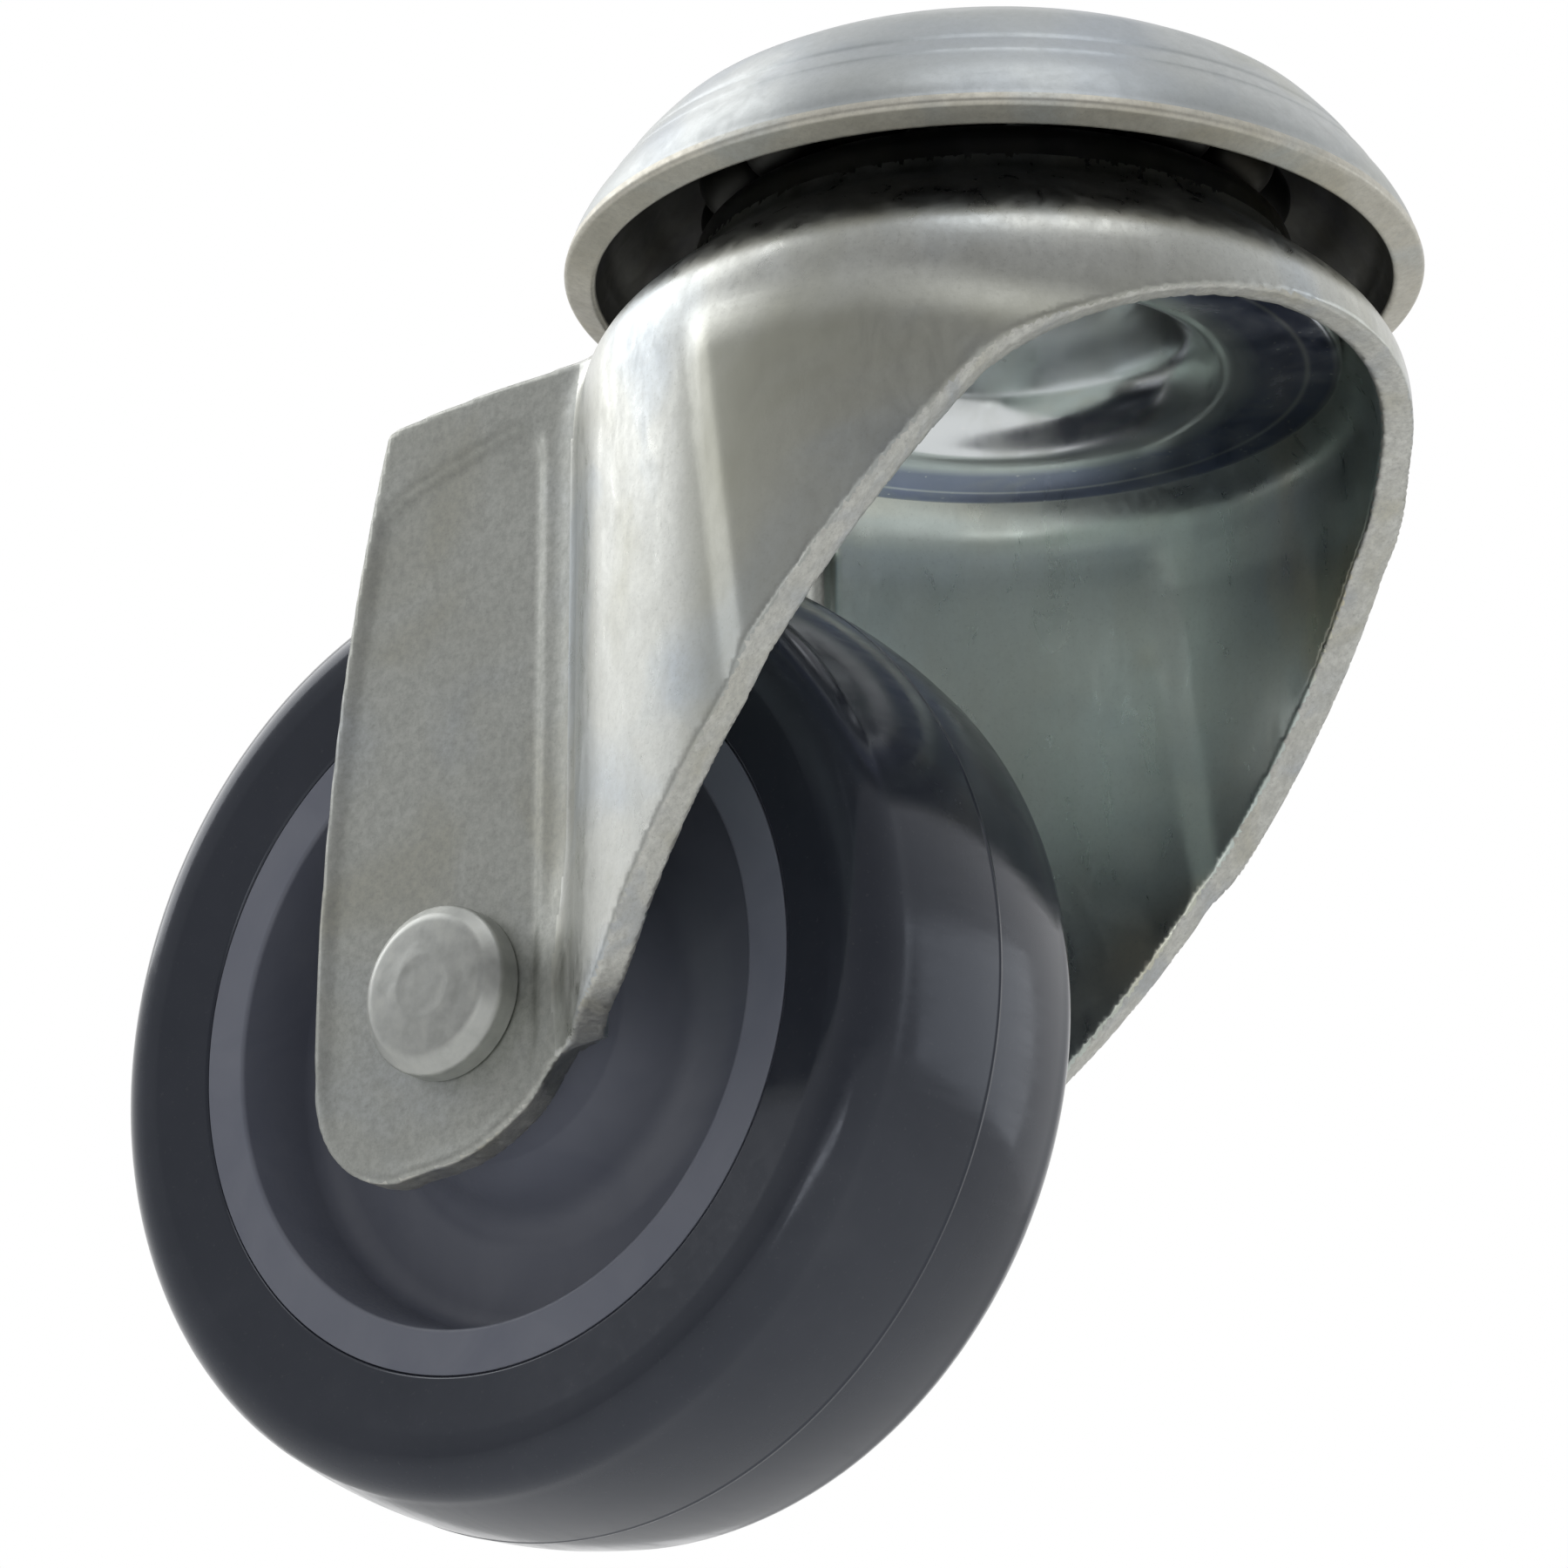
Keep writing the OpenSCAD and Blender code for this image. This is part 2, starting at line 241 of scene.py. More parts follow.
# ------------------------------------------------- sheet built from a field
def polygon_distance(poly, px, py):
    """Signed distance to a closed polygon, negative inside."""
    d2 = np.full(px.shape, 1e9)
    inside = np.zeros(px.shape, bool)
    nxt = np.roll(poly, -1, axis=0)
    for (ax, ay), (bx, by) in zip(poly, nxt):
        ex, ey = bx - ax, by - ay
        wx, wy = px - ax, py - ay
        t = np.clip((wx * ex + wy * ey) / (ex * ex + ey * ey + 1e-12), 0, 1)
        d2 = np.minimum(d2, (wx - ex * t) ** 2 + (wy - ey * t) ** 2)
        cross = (ay > py) != (by > py)
        if by != ay:
            xi = ax + (py - ay) / (by - ay) * ex
            inside ^= cross & (px < xi)
    d = np.sqrt(d2)
    return np.where(inside, -d, d)


class Table:
    """A signed distance to a polygon, kept on a fine grid."""

    def __init__(self, poly, low, high, step=0.1):
        self.low, self.step = np.array(low, float), step
        nu, nv = (int((high[k] - low[k]) / step) + 2 for k in (0, 1))
        u = low[0] + np.arange(nu) * step
        v = low[1] + np.arange(nv) * step
        gu, gv = np.meshgrid(u, v, indexing="ij")
        self.data = polygon_distance(np.asarray(poly), gu, gv)

    def __call__(self, u, v):
        fu = np.clip((u - self.low[0]) / self.step, 0,
                     self.data.shape[0] - 1.001)
        fv = np.clip((v - self.low[1]) / self.step, 0,
                     self.data.shape[1] - 1.001)
        iu, iv = fu.astype(int), fv.astype(int)
        du, dv = fu - iu, fv - iv
        d = self.data
        return ((d[iu, iv] * (1 - du) + d[iu + 1, iv] * du) * (1 - dv)
                + (d[iu, iv + 1] * (1 - du) + d[iu + 1, iv + 1] * du) * dv)


def ramp(x):
    """0 below 0, 1 above 1, smooth between."""
    x = np.clip(x, 0, 1)
    return x * x * (3 - 2 * x)


def soft_min(a, b, k):
    """Smaller of two distances, blended over k."""
    h = np.clip(0.5 + 0.5 * (b - a) / k, 0, 1)
    return b * (1 - h) + a * h - k * h * (1 - h)


def soft_max(a, b, k):
    return -soft_min(-a, -b, k)


def surface_net(field, low, high, step):
    """Quad mesh of the zero surface of field, moved exactly onto it."""
    n = [int(math.ceil((high[k] - low[k]) / step)) + 1 for k in range(3)]
    axes = [low[k] + np.arange(n[k]) * step for k in range(3)]
    f = np.empty(n, np.float32)
    gy, gz = np.meshgrid(axes[1], axes[2], indexing="ij")
    for i, x in enumerate(axes[0]):
        f[i] = field(np.full(gy.shape, x), gy, gz)
    neg = f < 0
    cells = tuple(k - 1 for k in n)
    count = np.zeros(cells, np.int8)
    for a in (0, 1):
        for b in (0, 1):
            for c in (0, 1):
                count += neg[a:a + cells[0], b:b + cells[1], c:c + cells[2]]
    active = (count > 0) & (count < 8)
    ids = np.full(cells, -1, np.int64)
    where = np.argwhere(active)
    ids[active] = np.arange(len(where))
    total = np.zeros((len(where), 3))
    hits = np.zeros(len(where))
    for axis in range(3):
        u, v = [k for k in range(3) if k != axis]
        for du in (0, 1):
            for dv in (0, 1):
                p = where.copy()
                p[:, u] += du
                p[:, v] += dv
                q = p.copy()
                q[:, axis] += 1
                fp, fq = f[tuple(p.T)], f[tuple(q.T)]
                cut = (fp < 0) != (fq < 0)
                t = np.where(cut, fp / np.where(cut, fp - fq, 1), 0)
                pos = p.astype(float)
                pos[:, axis] += t
                total[cut] += pos[cut]
                hits[cut] += 1
    verts = total / hits[:, None] * step + np.array(low)
    quads = []
    for axis in range(3):
        u, v = (axis + 1) % 3, (axis + 2) % 3
        lo = [slice(1, None)] * 3
        lo[axis] = slice(0, cells[axis])
        lo[u], lo[v] = slice(1, cells[u]), slice(1, cells[v])
        hi = list(lo)
        hi[axis] = slice(1, cells[axis] + 1)
        a, b = neg[tuple(lo)], neg[tuple(hi)]
        for sign in (True, False):
            at = np.argwhere((a != b) & (a == sign))
            at[:, u] += 1
            at[:, v] += 1
            ring = []
            for du, dv in ((1, 1), (0, 1), (0, 0), (1, 0)):
                c = at.copy()
                c[:, u] -= du
                c[:, v] -= dv
                ring.append(ids[tuple(c.T)])
            quad = np.stack(ring, 1)
            quads.append(quad if sign else quad[:, ::-1])
    for _ in range(4):
        x, y, z = verts.T
        e = 0.04
        g = np.stack([field(x + e, y, z) - field(x - e, y, z),
                      field(x, y + e, z) - field(x, y - e, z),
                      field(x, y, z + e) - field(x, y, z - e)], 1) / (2 * e)
        g2 = np.maximum((g ** 2).sum(1), 0.2)
        move = -(field(x, y, z) / g2)[:, None] * g
        verts += np.clip(move, -0.3 * step, 0.3 * step)
    return verts, np.vstack(quads)


# ---------------------------------------------------------------- fork
def side_outline():
    """Outline of the fork seen from the side, X and Z."""
    return np.vstack([
        cubic((20.9, -15.2), (17.5, -16.6), (14.2, -18.4), (11.2, -21.1)),
        cubic((11.2, -21.1), (6.0, -27.4), (-1.5, -36.2), (-8.9, -44.1)),
        cubic((-8.9, -44.1), (-10.2, -45.6), (-11.2, -46.7), (-13.2, -47.1)),
        cubic((-13.2, -47.1), (-15.2, -47.5), (-17.0, -47.6), (-18.6, -48.7)),
        cubic((-18.6, -48.7), (-20.8, -50.2), (-22.8, -52.0), (-26.0, -52.1)),
        cubic((-26.0, -52.1), (-26.8, -52.15), (-27.5, -52.3),
              FOOT - (0, FOOT_R)),
        arc(FOOT, FOOT_R, -90, -180),
        cubic(FOOT - (FOOT_R, 0), (-33.7, -36), (-32.4, -24), (-29.7, -13.6)),
        cubic((-29.7, -13.6), (-29.6, -13.1), (-29.4, -12.9), (-28.9, -12.85)),
        cubic((-28.9, -12.85), (-25, -12.3), (-21, -12.1), (-15.6, -12.0)),
        [(-15.6, -12.0), (-15.6, -5), (24, -5), (24, -15.2)]])


def panel_outline():
    """Outline of the sunk panel of a leg, X and Z."""
    inset = PANEL_INSET
    return np.vstack([
        cubic((-19.7, -46.6), (-20.6, -50.4), (-24, -51.4),
              FOOT - (0, FOOT_R - inset)),
        arc(FOOT, FOOT_R - inset, -90, -180),
        cubic(FOOT - (FOOT_R - inset, 0), (-33.7 + inset, -36),
              (-32.4 + inset, -25.5), (-30.6 + inset, -18.2)),
        cubic((-30.6 + inset, -18.2), (-29.6, -16.8), (-26.4, -16.2),
              (-23.6, -15.4)),
        cubic((-23.6, -15.4), (-21.4, -14.7), (-20.2, -14.6), (-19.8, -15.8)),
        [(-19.7, -17)]])


def hood_profile():
    """Outside of crown, shoulder and hood wall, radius and Z."""
    shoulder = smooth_path([
        (13.4, CROWN_Z), (13.95, -6.25), (14.45, -6.55), (14.8, -7.15),
        (14.95, -8), (15.3, -9), (16.45, -10), (17.75, -11), (18.9, -12.05),
        (19.65, -13), (20.15, -14), (20.42, SHOULDER_Z),
        (HOOD_R, SHOULDER_Z - 1.4)])
    return np.vstack([[(-30, CROWN_Z), (0, CROWN_Z)], shoulder,
                      [(HOOD_R, -70), (-30, -70)]])


side_at = Table(side_outline(), (-38, -60), (26, 0))
panel_at = Table(panel_outline(), (-38, -60), (-8, 0))
hood_at = Table(hood_profile(), (0, -60), (32, 0))


def outline_x(x, r):
    """X at which the side outline is read: cuts run square to the wall."""
    return np.where(r < HOOD_R, x * HOOD_R / np.maximum(r, 8), x)


def fork_field(x, y, z):
    """Distance-like field of the pressed fork, negative in the steel."""
    r = np.hypot(x, y)
    ay = np.abs(y)
    xq = outline_x(x, r)
    # Inside the bend to the leg the sheared face leans up and inwards.
    lift = (1.4 * ramp((LEG_OUT + 1.2 - ay) / 2.8) * ramp((x + 20.5) / 3)
            * ramp((-12.5 - x) / 2.5) * ramp((-40 - z) / 3))
    edge = side_at(xq, z - lift)
    edge_top = np.where(z > TOP_ZONE_Z, edge, NO_CUT)
    crease = PAD_X + (SHOULDER_Z - z) * PAD_LEAN
    pad = (PAD_H * ramp((xq - crease + 0.8) / 2.2)
           * ramp((SHOULDER_Z - z - 0.2 * np.maximum(xq - 6, 0)) / 3.4))
    pad = pad * ramp((LIP_X - xq) / 3.0)
    # The pad step is pressed softer on the inside of the sheet.
    shell = np.maximum(hood_at(r - pad, z),
                       -SHEET - hood_at(r - 0.4 * pad, z))
    back_skirt = np.maximum(SHOULDER_Z - 0.8 - z, x + 8)
    wall = np.maximum(np.maximum(edge_top, WALL_BACK_X - x),
                      np.minimum(LEG_IN - ay, -5 - x))
    shell = soft_max(shell, np.minimum(back_skirt, wall), 0.16)
    shell = soft_max(shell, CROWN_HOLE_R - r, 0.3)
    # The pressed rim dies out towards the rounded foot.
    rim = (RIM_H * ramp((panel_at(x, z) + 0.25) / 0.8)
           * (0.3 + 0.7 * ramp((z + 48.5) / 3.5)))
    leg = soft_max(ay - LEG_OUT - rim, LEG_IN - ay, 0.1)
    # The leg runs further into the crown at its top than at its foot.
    leg_end = x - LEG_FRONT_X - 1.1 * ramp((z + 16.5) / 2.5)
    leg = soft_max(leg, np.maximum(edge_top, leg_end), 0.2)
    # The bend to the leg is filled on its outside only.
    blend = 0.5 + ((1.0 + 1.2 * ramp((-36 - z) / 8))
                   * ramp((ay - LEG_IN - 0.2) / 1.2))
    steel = soft_min(shell, leg, blend)
    steel = np.where(z > TOP_ZONE_Z, steel, soft_max(steel, edge, 0.18))
    hole = np.hypot(x - AXLE[0], z - AXLE[2])
    return np.maximum(steel, np.where(ay > 8, PIN_R + 0.12 - hole, NO_CUT))


def build_fork():
    step = 0.27
    low = (-34.6, -22.2, -53.4)
    high = (22.2, 22.2, -5.0)
    verts, quads = surface_net(fork_field, low, high, step)
    fork = add_mesh("fork_sheet", verts, quads)
    groups = fork_groups(verts, quads)
    fork.data.polygons.foreach_set("material_index", groups)
    return fork


def fork_groups(verts, quads):
    """Material number of every face of the fork, see FORK_MATERIALS."""
    mid = verts[quads].mean(1)
    a = verts[quads[:, 2]] - verts[quads[:, 0]]
    b = verts[quads[:, 3]] - verts[quads[:, 1]]
    normal = np.cross(a, b)
    normal /= np.linalg.norm(normal, axis=1)[:, None] + 1e-12
    r = np.hypot(mid[:, 0], mid[:, 1])
    out = mid[:, :2] / np.maximum(r, 1)[:, None]
    facing = (normal[:, :2] * out).sum(1)
    # Faces made by the shearing tool follow the outline, not the sheet.
    across = np.where(mid[:, 0] < LEG_FRONT_X - 0.4, np.abs(normal[:, 1]),
                      np.abs(facing))
    to_edge = side_at(outline_x(mid[:, 0], r), mid[:, 2])
    sheared = (np.abs(to_edge) < 0.2) & (across < 0.72)
    wall_in = HOOD_R - SHEET
    # Faces inside the hood get the lighter inner material, which carries
    # painted light.
    inside = (((facing < -0.25)
               | ((normal[:, 2] < -0.3) & (r < wall_in - 0.1)))
              & (mid[:, 2] < CROWN_Z - 1) & (r < HOOD_R - 0.3) & ~sheared)
    # The crown's neck under the cap gets the near-black material: painted
    # shade.
    neck = (r < 15.2) & (mid[:, 2] > -8.3) & ~inside
    leg = (mid[:, 0] < LEG_FRONT_X) & (np.abs(mid[:, 1]) < LEG_OUT + 0.6)
    groups = np.select([sheared, neck, leg, inside], [1, 3, 4, 2], 0)
    return groups.astype(np.int32)


# ---------------------------------------------------------------- lathe work
def cap_profile():
    z = -CAP_H
    outer = smooth_path([
        (10.9, 0), (13.2, 0), (14.0, -0.1), (14.9, -0.45), (15.85, -0.98),
        (16.7, -1.5), (17.3, -2.05), (18.1, -2.95), (18.62, -3.6),
        (18.78, -3.9), (19.02, -4.2), (19.45, -4.75), (19.62, -5.05),
        (20.3, -6.0), (20.85, -7.0), (21.15, -7.8)], 5)
    lip = filleted([(21.2, -7.9), (CAP_R - 0.04, z + 0.55, 0.32),
                    (CAP_R - CAP_SHEET - 0.1, z + 0.02, 0.22),
                    (19.5, z + 1.2)], closed=False)
    inner = smooth_path([
        (19.4, -7.6), (19.05, -6.8), (18.4, -5.9), (17.7, -4.95),
        (17.0, -3.95), (16.2, -3.1), (15.4, -2.4), (14.6, -1.9),
        (13.6, -1.6), (11.6, -1.6), (10.7, -1.9), (9.9, -2.6), (9.0, -3.05),
        (8.4, CAP_UNDER_Z)], 4)
    centre = [(SLEEVE_R + 0.02, CAP_UNDER_Z), (SLEEVE_R + 0.02, DISH_Z),
              (8.7, DISH_Z)]
    dish = smooth_path([(9.0, -1.42), (9.4, -1.15), (9.9, -0.5),
                        (10.4, -0.1)], 4)
    return np.vstack([outer, lip, inner, centre, dish])


def cup_profile():
    t = CUP_SHEET
    top = smooth_path([
        (8.2, -3.12), (8.8, -3.4), (9.2, -4.1), (9.42, -5.6), (9.65, -8),
        (9.8, -9.8), (10.0, -11), (10.45, -11.8), (11.3, CUP_Z + t)], 5)
    rim = filleted([(11.6, CUP_Z + t), (CUP_R, CUP_Z + t, 0.85),
                    (CUP_R, CUP_Z, 0.3), (12.9, CUP_Z)], closed=False)
    under = smooth_path([
        (12.4, CUP_Z), (11.8, CUP_Z + 0.03), (11.1, CUP_Z + 0.22),
        (10.3, CUP_Z + 0.75), (9.5, CUP_Z + 1.5), (9.0, CUP_Z + 2.5),
        (8.75, -9.8), (8.5, -8), (8.25, -5.6), (8.05, -4.7), (7.7, -4.32)], 5)
    return np.vstack([[(SLEEVE_R + 0.02, CAP_UNDER_Z - 0.02)], top, rim,
                      under, [(SLEEVE_R + 0.02, -4.32)]])


def king_profile():
    foot_z = king_low[2]
    clinch_r, clinch_z = 7.75, -4.34
    return filleted([
        (BORE_R, 0, 0.35), (FLANGE_R, 0, 0.5),
        (FLANGE_R, DISH_Z + 0.02, 0.1), (SLEEVE_R, DISH_Z + 0.02),
        (SLEEVE_R, clinch_z), (clinch_r, clinch_z, 0.3),
        (clinch_r, clinch_z - 0.96, 0.5), (SLEEVE_R + 0.1, foot_z, 0.4),
        (BORE_R, foot_z, 0.3)])


def rivet_profile():
    """Half of the axle rivet: shank, then a low domed head."""
    face = LEG_OUT + 0.01
    head = filleted([
        (PIN_R, face, 0), (HEAD_R, face, 0.15), (HEAD_R, HEAD_TOP - 0.95, 0.5),
        (HEAD_R - 0.75, HEAD_TOP - 0.22, 0.8), (1.6, HEAD_TOP, 1.5),
        (0, HEAD_TOP, 0)], closed=False, n=10)
    return np.vstack([head, head[::-1] * (1, -1)])


def hub_profile():
    rim_in = RIM_R - RIM_WALL
    floor_r = rim_in - 0.65
    web = WEB_HALF
    half = filleted([
        (HUB_BORE_R, 0), (HUB_BORE_R, HUB_HALF, 0.35), (6.5, HUB_HALF, 0.6),
        (7.4, HUB_HALF - 2.4, 1.5), (9.4, web + 0.7, 2.4), (10.9, web, 1.6),
        (floor_r, web, 1.3), (rim_in, RIM_HALF, 0.22),
        (RIM_R - 0.02, RIM_HALF, 0.05), (RIM_R - 0.02, 7.2),
        (RIM_R - 0.12, 6.6), (RIM_R - 0.12, 4.2), (RIM_R + 1.05, 3.05),
        (RIM_R + 1.28, 2.2), (RIM_R + 1.28, 0)], closed=False)
    other = half[::-1][1:-1] * (1, -1)
    return np.vstack([half, other])


def tyre_profile():
    crown = TREAD_CROWN_R
    shoulder = TYRE_SHOULDER_R
    dy = TYRE_HALF - shoulder
    cx = WHEEL_R - crown + math.sqrt((crown - shoulder) ** 2 - dy * dy)
    turn = math.degrees(math.asin(dy / (crown - shoulder)))
    tread = arc((WHEEL_R - crown, 0), crown, 0, turn - 0.4, 14)[1:]
    # A fine parting line stands out all round the middle of the tread.
    seam = [(WHEEL_R, 0), (WHEEL_R - 0.002, 0.04),
            (WHEEL_R - SEAM_H, 0.09), (WHEEL_R - SEAM_H, 0.2)]
    tread = tread - [SEAM_H, 0]
    round_ = arc((cx - 0.02, dy), shoulder, turn, 90, 16)
    side = filleted([(cx - 0.3, TYRE_HALF), (21.2, TYRE_HALF - 0.02, 2),
                     (RIM_R + 0.16, RIM_HALF + 0.05, 0.1),
                     (RIM_R + 0.02, RIM_HALF - 0.04)], closed=False)
    bond = [(RIM_R + 0.02, 7.2), (RIM_R - 0.08, 6.6), (RIM_R - 0.08, 4.2),
            (RIM_R + 1.12, 3.05), (RIM_R + 1.33, 2.2), (RIM_R + 1.33, 0)]
    half = np.vstack([seam, tread, round_, side, bond])
    other = half[::-1][1:-1] * (1, -1)
    return np.vstack([half, other])


# ---------------------------------------------------------------- materials
def material(name):
    mat = bpy.data.materials.new(name)
    mat.use_nodes = True
    nodes = mat.node_tree.nodes
    return mat, nodes, mat.node_tree.links, nodes["Principled BSDF"]


def noise(nodes, links, coords, scale, detail=4, rough=0.55, stretch=None,
          distort=0.0):
    """Noise over the piece, scale in waves per metre."""
    if stretch:
        mapping = nodes.new("ShaderNodeMapping")
        mapping.inputs["Scale"].default_value = stretch
        links.new(coords, mapping.inputs["Vector"])
        coords = mapping.outputs["Vector"]
    tex = nodes.new("ShaderNodeTexNoise")
    tex.inputs["Scale"].default_value = scale
    tex.inputs["Detail"].default_value = detail
    tex.inputs["Roughness"].default_value = rough
    tex.inputs["Distortion"].default_value = distort
    links.new(coords, tex.inputs["Vector"])
    return tex.outputs["Fac"]


def colour_ramp(nodes, links, source, stops):
    """stops: list of (position, colour)."""
    tree = nodes.new("ShaderNodeValToRGB")
    el = tree.color_ramp.elements
    while len(el) < len(stops):
        el.new(0.5)
    for e, (pos, col) in zip(el, stops):
        e.position = pos
        e.color = (*col, 1)
    links.new(source, tree.inputs["Fac"])
    return tree.outputs["Color"]


def spread(nodes, links, source, low, high, a=0.3, b=0.7):
    """Maps source from a..b to low..high."""
    node = nodes.new("ShaderNodeMapRange")
    node.inputs["From Min"].default_value = a
    node.inputs["From Max"].default_value = b
    node.inputs["To Min"].default_value = low
    node.inputs["To Max"].default_value = high
    links.new(source, node.inputs["Value"])
    return node.outputs["Result"]


def mix_colour(nodes, links, factor, a, b):
    """Mixes a to b. Each of the two is a colour or a node's output."""
    node = nodes.new("ShaderNodeMix")
    node.data_type = "RGBA"
    sockets = [s for s in node.inputs if s.enabled]
    for value, socket in zip((factor, a, b), sockets):
        if isinstance(value, tuple):
            socket.default_value = (*value, 1)
        else:
            links.new(value, socket)
    return [s for s in node.outputs if s.enabled][0]


def bump(nodes, links, shader, heights):
    """heights: list of (source, strength, distance in mm)."""
    normal = None
    for source, strength, distance in heights:
        node = nodes.new("ShaderNodeBump")
        node.inputs["Strength"].default_value = strength
        node.inputs["Distance"].default_value = distance * MM
        links.new(source, node.inputs["Height"])
        if normal is not None:
            links.new(normal, node.inputs["Normal"])
        normal = node.outputs["Normal"]
    links.new(normal, shader.inputs["Normal"])


def object_coords(nodes):
    return nodes.new("ShaderNodeTexCoord").outputs["Object"]


def painted_light_share(nodes, links, where, ragged, span_x, span_z):
    """1 inside a patch of painted light or shade given by two fades along X
    and Z, in mm.
    """
    split = nodes.new("ShaderNodeSeparateXYZ")
    links.new(where, split.inputs["Vector"])
    both = nodes.new("ShaderNodeMath")
    both.operation = "MULTIPLY"
    for socket, axis, (a, b) in ((0, "X", span_x), (1, "Z", span_z)):
        links.new(spread(nodes, links, split.outputs[axis], 0, 1,
                         a * MM, b * MM), both.inputs[socket])
    fade = nodes.new("ShaderNodeMath")
    fade.operation = "MULTIPLY"
    links.new(both.outputs["Value"], fade.inputs[0])
    links.new(spread(nodes, links, ragged, 0.45, 0.95, 0.35, 0.6),
              fade.inputs[1])
    return fade.outputs["Value"]


def zinc(name, light, warm, cool, rough=(0.26, 0.42), speckle=0.5,
         tint=0.5, grain=(1, 1, 1), scale=1.0, mottle=0.0, dents=0.12,
         painted_light_zone=None):
    """Bright zinc plating over pressed sheet: soft tints, specks, smudges. An
    optional patch (X fade, Z fade, colour, added roughness) paints light or
    shade in.
    """
    mat, nodes, links, shader = material(name)
    where = object_coords(nodes)
    cloud = noise(nodes, links, where, 95 * scale, 3, 0.5, distort=0.6)
    patch = noise(nodes, links, where, 240 * scale, 5, 0.6, stretch=grain)
    speck = noise(nodes, links, where, 5200, 3, 0.7)
    crystal = noise(nodes, links, where, 2300, 4, 0.75)
    smear = noise(nodes, links, where, 700 * scale, 6, 0.65, stretch=grain,
                  distort=1.2)
    base = colour_ramp(nodes, links, cloud, [
        (0.32, cool), (0.47, light), (0.56, light), (0.7, warm)])
    dulled = mix_colour(nodes, links,
                        spread(nodes, links, patch, 0, tint, 0.42, 0.72),
                        base, tuple(0.72 * c for c in warm))
    marked = mix_colour(nodes, links,
                        spread(nodes, links, speck, 0, speckle, 0.56, 0.72),
                        dulled, tuple(0.45 * c for c in light))
    marked = mix_colour(nodes, links,
                        spread(nodes, links, crystal, 0, mottle, 0.38, 0.66),
                        marked, tuple(0.62 * c for c in light))
    low, high = rough
    polish = spread(nodes, links, smear, low, high, 0.35, 0.68)
    # Painted light: the patch lays a painted highlight or painted shade over
    # the zinc.
    if painted_light_zone:
        span_x, span_z, colour, matt = painted_light_zone
        share = painted_light_share(nodes, links, where, cloud, span_x, span_z)
        marked = mix_colour(nodes, links, share, marked, colour)
        extra = nodes.new("ShaderNodeMath")
        extra.operation = "MULTIPLY_ADD"
        links.new(share, extra.inputs[0])
        extra.inputs[1].default_value = matt
        links.new(polish, extra.inputs[2])
        polish = extra.outputs["Value"]
    links.new(marked, shader.inputs["Base Color"])
    shader.inputs["Metallic"].default_value = 1.0
    links.new(polish, shader.inputs["Roughness"])
    bump(nodes, links, shader, [(smear, dents, 0.05), (speck, 0.1, 0.012),
                                (crystal, 0.6 * mottle, 0.03)])
    return mat


def tyre_material():
    """Glossy polyurethane with fine handling marks and turned-in dust."""
    mat, nodes, links, shader = material("tyre_polyurethane")
    where = object_coords(nodes)
    cloud = noise(nodes, links, where, 120, 4, 0.6)
    scuff = noise(nodes, links, where, 900, 6, 0.7, stretch=(1, 0.15, 1),
                  distort=0.8)
    dust = noise(nodes, links, where, 3800, 3, 0.7)
    base = colour_ramp(nodes, links, cloud, [
        (0.3, (0.022, 0.025, 0.034)), (0.55, (0.028, 0.031, 0.041)),
        (0.75, (0.037, 0.040, 0.050))])
    dusty = mix_colour(nodes, links,
                       spread(nodes, links, dust, 0, 0.35, 0.62, 0.78),
                       base, (0.08, 0.08, 0.085))
    links.new(dusty, shader.inputs["Base Color"])
    links.new(spread(nodes, links, scuff, 0.10, 0.26, 0.4, 0.75),
              shader.inputs["Roughness"])
    shader.inputs["IOR"].default_value = 1.52
    shader.inputs["Specular IOR Level"].default_value = 0.5
    shader.inputs["Specular Tint"].default_value = (0.84, 0.89, 1.0, 1)
    bump(nodes, links, shader, [(cloud, 0.15, 0.06), (scuff, 0.08, 0.02),
                                (dust, 0.08, 0.01)])
    return mat


def hub_material():
    """Moulded polypropylene: satin, faint flow marks and fine texture."""
    mat, nodes, links, shader = material("hub_polypropylene")
    where = object_coords(nodes)
    flow = noise(nodes, links, where, 160, 3, 0.5, distort=1.5)
    fine = noise(nodes, links, where, 4200, 2, 0.6)
    base = colour_ramp(nodes, links, flow, [
        (0.3, (0.135, 0.145, 0.185)), (0.7, (0.160, 0.170, 0.208))])
    links.new(base, shader.inputs["Base Color"])
    links.new(spread(nodes, links, fine, 0.40, 0.52),
              shader.inputs["Roughness"])
    bump(nodes, links, shader, [(flow, 0.06, 0.03), (fine, 0.12, 0.01)])
    return mat


